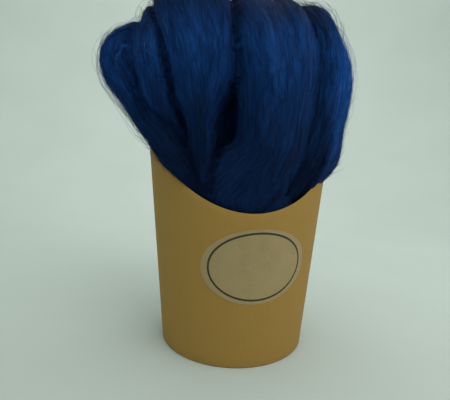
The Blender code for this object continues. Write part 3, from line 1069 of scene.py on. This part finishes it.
def fibre_paths(kind, bundle, tree, rng):
    """Fibres of one kind on one fold: their paths, radii and the skin's normals."""
    tries = kind.count * TRIES
    length = rng.uniform(*kind.length, tries)
    start = rng.uniform(0, 1, tries) * (bundle.along[-1, 0] - length)
    share = np.linspace(0, 1, kind.points)
    along = start[:, None] + length[:, None] * share
    around = rng.uniform(0, 2 * math.pi, tries)[:, None] + TWIST * along
    waves = rng.uniform(*WANDER_WAVES, tries)[:, None]
    around += rng.normal(0, kind.wander, tries)[:, None] * np.sin(math.pi * share * waves)
    spots, normals, depth = lay_on_skin(on_bundle(bundle, around, along), tree)
    low, high = kind.lift
    lift = low + (high - low) * rng.uniform(0, 1, tries) ** 2
    profile = share**STAND if kind.ends else np.sin(math.pi * share) ** ARCH
    sideways = np.cross(normals, np.gradient(spots, axis=1))
    sideways /= np.maximum(np.linalg.norm(sideways, axis=-1, keepdims=True), TINY)
    phase = rng.uniform(0, 2 * math.pi, tries)[:, None]
    crimp = kind.crimp * np.sin(phase + along * rng.uniform(*CRIMP_WAVES, tries)[:, None])
    rise = lift[:, None] * profile - ROOTED
    paths = spots + normals * rise[..., None] + sideways * (crimp * profile)[..., None]
    good = (depth.max(axis=1) < COVERED) & ~jumps(spots) & ~touches_card(paths)
    shown = np.flatnonzero(good)[: kind.count]
    return paths[shown], normals[shown], rng.uniform(*kind.thickness, tries)[shown]


def fibre_tubes(paths, normals, radii, tones):
    """Closed thin tubes along paths of equal point count: their points, faces and lay."""
    count, rings = paths.shape[:2]
    forward = np.gradient(paths, axis=1)
    forward /= np.maximum(np.linalg.norm(forward, axis=-1, keepdims=True), TINY)
    side = np.cross(normals, forward)
    side /= np.maximum(np.linalg.norm(side, axis=-1, keepdims=True), TINY)
    up = np.cross(forward, side)
    from_end = np.minimum(np.linspace(0, 1, rings), np.linspace(1, 0, rings))
    radius = (radii[:, None] * np.minimum(1.0, TIP + TAPER * from_end))[..., None, None]
    turns = np.arange(FIBRE_SIDES) * 2 * math.pi / FIBRE_SIDES + math.pi / 2
    ring = side[:, :, None] * np.cos(turns)[:, None] + up[:, :, None] * np.sin(turns)[:, None]
    points = paths[:, :, None] + radius * ring
    tube = tube_faces(rings, FIBRE_SIDES)
    faces = []
    for fibre in range(count):
        first = fibre * rings * FIBRE_SIDES
        faces += [[corner + first for corner in face] for face in tube]
    steps = np.diff(paths, axis=1, prepend=paths[:, :1])
    walked = np.cumsum(np.linalg.norm(steps, axis=-1), axis=1)
    lay = np.zeros(points.shape)
    lay[..., 0] = tones[:, None, None] * TONE_ACROSS
    lay[..., 2] = walked[:, :, None] + tones[:, None, None] * TONE_ALONG
    return points.reshape(-1, 3), faces, lay.reshape(-1, 3)


fibre_wool = wool_material(
    "blue_dyed_wool_fibre",
    [(0.2, "#124a94"), (0.5, "#1659b2"), (0.75, "#1a6ac8"), (0.95, "#3080d8")],
    0.85,
)
stray_wool = wool_material(
    "pale_blue_wool_fibre", [(0.2, "#3480c8"), (0.5, "#5a9cd8"), (0.8, "#86b8e4")], 0.85
)
tree = skin_tree(body)
for number, (name, bundle) in enumerate(zip(BUNDLES, bundles)):
    if name == "packed":
        continue
    rng = np.random.default_rng(FIBRE_SEED + number)
    all_points, all_faces, all_lay = [], [], []
    first = 0
    stray_from = 0
    for kind_name, kind in FIBRE_KINDS.items():
        if kind_name == "stray":
            stray_from = len(all_faces)
        paths, normals, radii = fibre_paths(kind, bundle, tree, rng)
        tones = rng.uniform(0, 1, len(paths))
        points, faces, lay = fibre_tubes(paths, normals, radii, tones)
        all_points.append(points)
        all_faces += [[corner + first for corner in face] for face in faces]
        all_lay.append(lay)
        first += len(points)
    points = np.concatenate(all_points)
    lay = np.concatenate(all_lay)
    piece = add_mesh("fibres_" + name, points, all_faces, lay, fibre_wool)
    piece.data.materials.append(stray_wool)
    for face in piece.data.polygons[stray_from:]:
        face.material_index = 1
    finish_piece(piece, "wool")


# ---------------------------------------------------------------------------------
# The floor is one plain sheet of pale paper. Far out it sweeps up all the way round.
# ---------------------------------------------------------------------------------
FLOOR_FLAT = 0.42
SWEEP_RADIUS = 0.60
SWEEP_STEPS = 12
SWEEP_TOP = 0.5
FLOOR_SIDES = 96

bpy.ops.object.select_all(action="DESELECT")
bpy.ops.mesh.primitive_circle_add(vertices=FLOOR_SIDES, radius=FLOOR_FLAT, fill_type="NGON")
floor = bpy.context.object
floor.name = "paper_floor"
bpy.ops.object.mode_set(mode="EDIT")
bpy.ops.mesh.select_all(action="SELECT")
bpy.ops.mesh.region_to_loop()
out, up = FLOOR_FLAT, 0.0
for step in range(1, SWEEP_STEPS + 2):
    bend = math.pi / 2 * min(step / SWEEP_STEPS, 1.0)
    new_out = FLOOR_FLAT + SWEEP_RADIUS * math.sin(bend)
    new_up = SWEEP_RADIUS * (1 - math.cos(bend)) + SWEEP_TOP * (step > SWEEP_STEPS)
    bpy.ops.mesh.extrude_edges_move(TRANSFORM_OT_translate={"value": (0.0, 0.0, new_up - up)})
    widen = new_out / out
    bpy.ops.transform.resize(value=(widen, widen, 1.0), center_override=(0.0, 0.0, 0.0))
    out, up = new_out, new_up
bpy.ops.object.mode_set(mode="OBJECT")
bpy.ops.object.shade_smooth()

# Pale grey-green backdrop paper, matt, hardly uneven.
paper, shader = new_material("pale_backing_paper", {"Roughness": 0.9, "IOR": 1.45})
place = add_node(paper, "ShaderNodeTexCoord").outputs["Object"]
mottle = add_node(paper, "ShaderNodeTexNoise", inputs={"Vector": place, "Scale": 6.0})
colour = ramp(paper, mottle.outputs["Fac"], [(0.3, "#b5beb8"), (0.7, "#b9c2bc")])
paper.node_tree.links.new(colour, shader.inputs["Base Color"])
floor.data.materials.append(paper)


# ---------------------------------------------------------------------------------
# Soft studio light: a wide key from the upper right in front, weaker ones from the
# right and from the left in front, one on the paper behind, and an even pale surround.
# ---------------------------------------------------------------------------------
Lamp = namedtuple("Lamp", "name place aim power")
LAMPS = (
    Lamp("key", (0.30, -0.52, 0.66), (0.0, 0.0, 0.12), 2.4),
    Lamp("side", (0.65, -0.20, 0.30), (0.0, 0.0, 0.12), 1.1),
    Lamp("fill", (-0.50, -0.60, 0.22), (0.0, 0.0, 0.10), 1.0),
    Lamp("backdrop", (0.05, 0.30, 0.75), (0.10, 0.95, 0.25), 2.8),
)
LAMP_SIZE = 0.5
SURROUND = "#e3ebe6"
SURROUND_STRENGTH = 1.15

for lamp in LAMPS:
    bpy.ops.object.light_add(type="AREA", location=lamp.place)
    light = bpy.context.object
    light.name = lamp.name
    light.data.size = LAMP_SIZE
    light.data.energy = lamp.power
    light.visible_camera = False
    light.rotation_mode = "QUATERNION"
    light.rotation_quaternion = (Vector(lamp.aim) - light.location).to_track_quat("-Z", "Y")
world = bpy.data.worlds.new("surround")
world.use_nodes = True
background = world.node_tree.nodes["Background"]
background.inputs["Color"].default_value = linear(SURROUND)
background.inputs["Strength"].default_value = SURROUND_STRENGTH
bpy.context.scene.world = world
